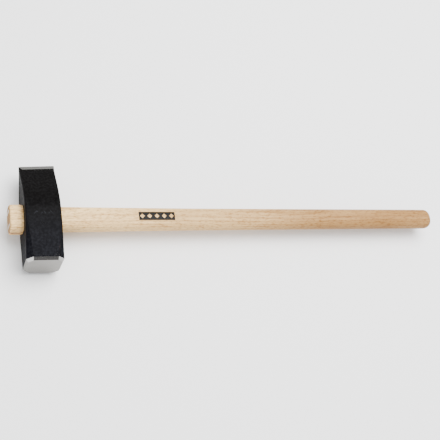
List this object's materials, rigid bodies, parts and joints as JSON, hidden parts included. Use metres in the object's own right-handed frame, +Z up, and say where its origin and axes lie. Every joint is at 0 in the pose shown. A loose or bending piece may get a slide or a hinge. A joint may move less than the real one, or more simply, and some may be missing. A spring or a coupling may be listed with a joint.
{
  "type": "splitting maul",
  "caption": "Two-handed splitting maul: forged wedge head with a chamfered eight-sided poll on a straight oval ash handle, wedged in the eye.",
  "frame": {"origin": "centre of the bounding box at its lowest level, with the maul lying on one cheek", "axes": "+X along the handle from the stub to the grip end, +Y towards the cutting edge, +Z up out of the upper cheek"},
  "size_m": [0.8, 0.1816, 0.075],
  "materials": {
    "forged_head": "black coated forged steel, ground bright on the edge bevels and the striking face",
    "ash_handle": "sanded ash, clear oiled",
    "hardwood_wedge": "plain hardwood",
    "steel_wedge": "bright mild steel"
  },
  "bodies": {
    "root": {"head": "forged_head", "handle": "ash_handle", "wood_wedge": "hardwood_wedge", "steel_wedge_edge_side": "steel_wedge", "steel_wedge_poll_side": "steel_wedge"}
  },
  "joints": []
}
